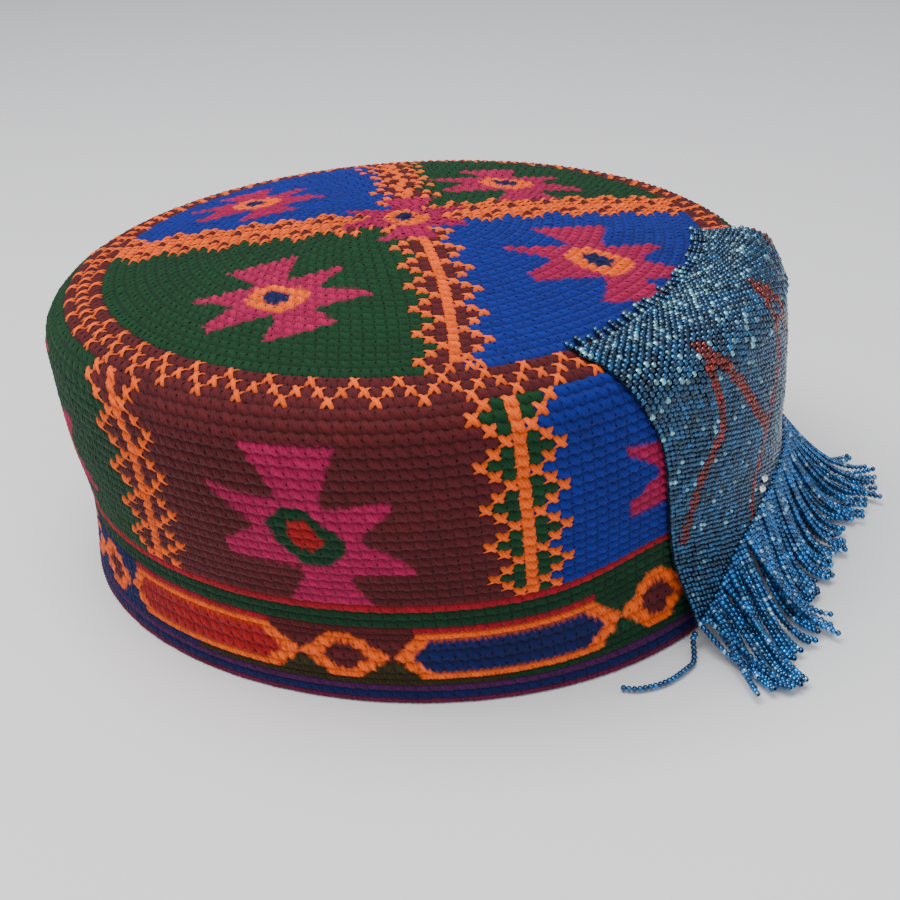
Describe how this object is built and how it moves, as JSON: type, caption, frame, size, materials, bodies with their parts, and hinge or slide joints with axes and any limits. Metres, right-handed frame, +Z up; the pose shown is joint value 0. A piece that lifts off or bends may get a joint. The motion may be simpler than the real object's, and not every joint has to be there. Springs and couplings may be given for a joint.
{
  "type": "traditional hat",
  "caption": "Round crocheted cap with a flat crown, patterned side and band, and a bead-woven panel with a fringe draped over one side.",
  "frame": {"origin": "middle of the whole part's box, fringe included, on the surface that the hem stands on", "axes": "+Z up through the crown; +X towards the bead panel's side, the right in the picture; the picture looks along +Y"},
  "size_m": [0.2384, 0.1984, 0.0935],
  "materials": {
    "hem_yarn": "crocheted yarn, purple and navy",
    "band_yarn": "crocheted yarn, red, navy, green and orange",
    "side_yarn": "crocheted yarn, maroon, blue, green, magenta and orange",
    "border_yarn": "crocheted yarn, orange on maroon",
    "crown_yarn": "crocheted yarn, green, blue, magenta and orange",
    "panel_beads": "lustred steel-blue and red seed beads",
    "fringe_beads": "lustred blue seed beads",
    "strand_beads": "lustred blue seed beads"
  },
  "bodies": {
    "root": {"hem_edge": "hem_yarn", "head_band": "band_yarn", "side_wall": "side_yarn", "rim_border": "border_yarn", "crown": "crown_yarn", "bead_panel": "panel_beads", "bead_fringe": "fringe_beads", "stray_strand": "strand_beads"}
  },
  "joints": []
}
